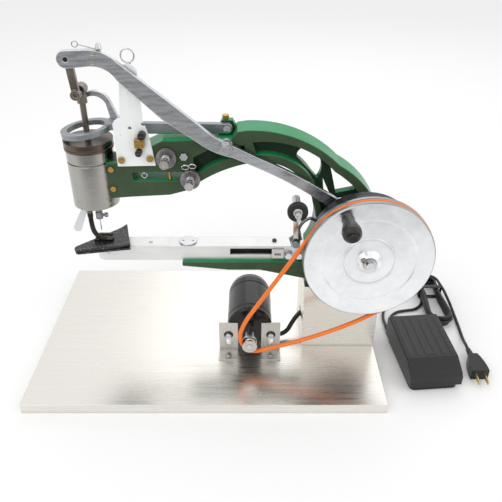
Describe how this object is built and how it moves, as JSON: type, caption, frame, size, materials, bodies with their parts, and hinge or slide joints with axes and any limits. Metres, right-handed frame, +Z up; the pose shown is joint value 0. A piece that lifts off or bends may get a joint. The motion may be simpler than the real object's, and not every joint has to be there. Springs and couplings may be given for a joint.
{
  "type": "shoe-patching sewing machine",
  "caption": "Motorised leather-patching sewing machine on a folded steel tray, with a turning needle head, slim shuttle arm, hand wheel, belt drive, foot pedal and corded plug.",
  "frame": {"origin": "centre of the tray's lower rim, on the surface that it stands on", "axes": "+Z up, +X from the needle head to the hand wheel, +Y away from the operator"},
  "size_m": [0.6596, 0.33, 0.4622],
  "materials": {
    "stainless": "brushed sheet",
    "bracket_steel": "satin sheet",
    "green_paint": "gloss enamel on a casting",
    "machined_steel": "turned",
    "plated_steel": "bright plated",
    "spring_steel": "drawn wire",
    "aluminium": "machined",
    "brass": "polished",
    "black_oxide": "blackened",
    "shuttle_steel": "hardened",
    "motor_black": "gloss",
    "iron": "laminated",
    "grip_black": "turned, gloss",
    "belt_orange": "smooth round belt",
    "winder_rubber": "matt",
    "pedal_black": "moulded",
    "cord_black": "smooth sheath",
    "plug_black": "moulded",
    "leather_black": "grained"
  },
  "bodies": {
    "base": {"base_tray": "stainless", "pedestal": "stainless", "frame_casting": "green_paint", "barrel_keeper": "machined_steel", "thread_plate": "aluminium", "thread_wires": "plated_steel", "brass_fittings": "brass", "black_screws": "black_oxide", "steel_bolts": "plated_steel", "tension_discs": "plated_steel", "tension_springs": "spring_steel", "shuttle_arm": "aluminium", "needle_plate": "aluminium", "rack_bracket": "machined_steel", "shaft_bush": "brass", "drive_belt": "belt_orange", "motor_housing": "motor_black", "motor_field": "iron", "motor_bracket_left": "bracket_steel", "motor_bracket_right": "bracket_steel", "winder_bracket": "machined_steel", "pedal_base": "pedal_black", "pedal_spring": "spring_steel", "mains_cord": "cord_black", "cord_hank": "cord_black", "plug_cord": "cord_black", "plug": "plug_black", "motor_cord": "cord_black", "leather_strip": "leather_black"},
    "drive": {"main_shaft": "plated_steel", "cam_drum": "machined_steel", "hand_wheel": "aluminium", "crank_spindle": "plated_steel"},
    "grip": {"crank_grip": "grip_black"},
    "motor": {"motor_rotor": "iron", "motor_pulley": "aluminium"},
    "lever": {"needle_lever": "plated_steel", "lever_thread_guide": "black_oxide"},
    "link": {"needle_link": "machined_steel", "link_pins": "plated_steel"},
    "swivel": {"needle_swivel": "machined_steel"},
    "head_barrel": {"barrel": "machined_steel", "presser_spring": "spring_steel"},
    "needle_carrier": {"needle_bar": "plated_steel", "needle_clamp": "machined_steel", "needle": "plated_steel"},
    "presser": {"presser_bar": "machined_steel"},
    "paddle": {"lifter_paddle": "machined_steel"},
    "feed": {"feed_lever": "machined_steel", "arch_strap": "machined_steel"},
    "upper_nut": {"upper_tension_nut": "plated_steel"},
    "lower_nut": {"lower_tension_nut": "plated_steel"},
    "cover": {"swing_cover": "machined_steel"},
    "rack": {"shuttle_rack": "shuttle_steel"},
    "shuttle_unit": {"shuttle": "shuttle_steel", "bobbin": "shuttle_steel", "shuttle_pinion": "shuttle_steel"},
    "winder": {"winder_arm": "machined_steel"},
    "winder_disc": {"winder_wheel": "winder_rubber"},
    "treadle": {"pedal_treadle": "pedal_black"}
  },
  "joints": [
    {"name": "hand_wheel_turn", "type": "hinge", "parent": "base", "child": "drive", "pos_m": [0.216, 0, 0.202], "axis": [0, 1, 0], "continuous": true},
    {"name": "crank_grip_spin", "type": "hinge", "parent": "drive", "child": "grip", "pos_m": [0.18195, -0.12, 0.26882], "axis": [0, 1, 0], "continuous": true},
    {"name": "motor_spin", "type": "hinge", "parent": "base", "child": "motor", "pos_m": [0.062, 0, 0.057], "axis": [0, 1, 0], "continuous": true},
    {"name": "needle_lever_swing", "type": "hinge", "parent": "base", "child": "lever", "pos_m": [0.032, -0.0275, 0.331], "axis": [0, 1, 0], "range_deg": [-7.2, 2.5]},
    {"name": "link_swing", "type": "hinge", "parent": "lever", "child": "link", "pos_m": [-0.154, -0.024, 0.441], "axis": [0, 1, 0], "range_deg": [-9.99, 3.6]},
    {"name": "swivel_slide", "type": "slide", "parent": "base", "child": "swivel", "axis": [0, 0, 1], "range_m": [-0.02179, 0.00776]},
    {"name": "head_turn", "type": "hinge", "parent": "base", "child": "head_barrel", "pos_m": [-0.15, 0, 0.29], "axis": [0, 0, 1], "continuous": true},
    {"name": "needle_slide", "type": "slide", "parent": "head_barrel", "child": "needle_carrier", "axis": [0, 0, 1], "range_m": [-0.02179, 0.00776]},
    {"name": "lifter_swing", "type": "hinge", "parent": "head_barrel", "child": "paddle", "pos_m": [-0.165, -0.017, 0.235], "axis": [0, 1, 0], "range_deg": [-2, 63]},
    {"name": "presser_lift", "type": "slide", "parent": "head_barrel", "child": "presser", "axis": [0, 0, 1], "range_m": [0, 0.005], "deforming": ["presser_spring"]},
    {"name": "feed_lever_swing", "type": "hinge", "parent": "base", "child": "feed", "pos_m": [0.033, 0, 0.346], "axis": [0, 1, 0], "range_deg": [-0.8, 2]},
    {"name": "upper_tension_turn", "type": "hinge", "parent": "base", "child": "upper_nut", "pos_m": [-0.046, -0.042, 0.314], "axis": [0, 1, 0], "continuous": true},
    {"name": "lower_tension_turn", "type": "hinge", "parent": "base", "child": "lower_nut", "pos_m": [-0.016, -0.042, 0.284], "axis": [0, 1, 0], "continuous": true},
    {"name": "arm_cover_turn", "type": "hinge", "parent": "base", "child": "cover", "pos_m": [-0.027, 0, 0.175], "axis": [0, 0, 1], "continuous": true},
    {"name": "rack_slide", "type": "slide", "parent": "base", "child": "rack", "axis": [1, 0, 0], "range_m": [-0.003, 0.008]},
    {"name": "shuttle_turn", "type": "hinge", "parent": "base", "child": "shuttle_unit", "pos_m": [-0.1406, 0, 0.1653], "axis": [0, 1, 0], "range_deg": [-103, 40]},
    {"name": "winder_swing", "type": "hinge", "parent": "base", "child": "winder", "pos_m": [0.124, -0.055, 0.206], "axis": [0, 1, 0], "range_deg": [-5, 17.5]},
    {"name": "winder_spin", "type": "hinge", "parent": "winder", "child": "winder_disc", "pos_m": [0.122, -0.08, 0.27], "axis": [0, 1, 0], "continuous": true},
    {"name": "treadle_press", "type": "hinge", "parent": "base", "child": "treadle", "pos_m": [0.31655, -0.01219, 0.01], "axis": [0.9962, 0.0872, 0], "range_deg": [0, 3.5], "stiffness_Nm_per_rad": 2, "springref_deg": -8.59, "deforming": ["pedal_spring"]}
  ],
  "couplings": [
    {"joint": "motor_spin", "follows": "hand_wheel_turn", "ratio": 9.1667},
    {"joint": "link_swing", "follows": "needle_lever_swing", "ratio": 1.36},
    {"joint": "swivel_slide", "follows": "needle_lever_swing", "m_per_rad": 0.171},
    {"joint": "needle_slide", "follows": "needle_lever_swing", "m_per_rad": 0.171},
    {"joint": "lifter_swing", "follows": "presser_lift", "rad_per_m": 209.44},
    {"joint": "shuttle_turn", "follows": "rack_slide", "rad_per_m": -222.22}
  ]
}
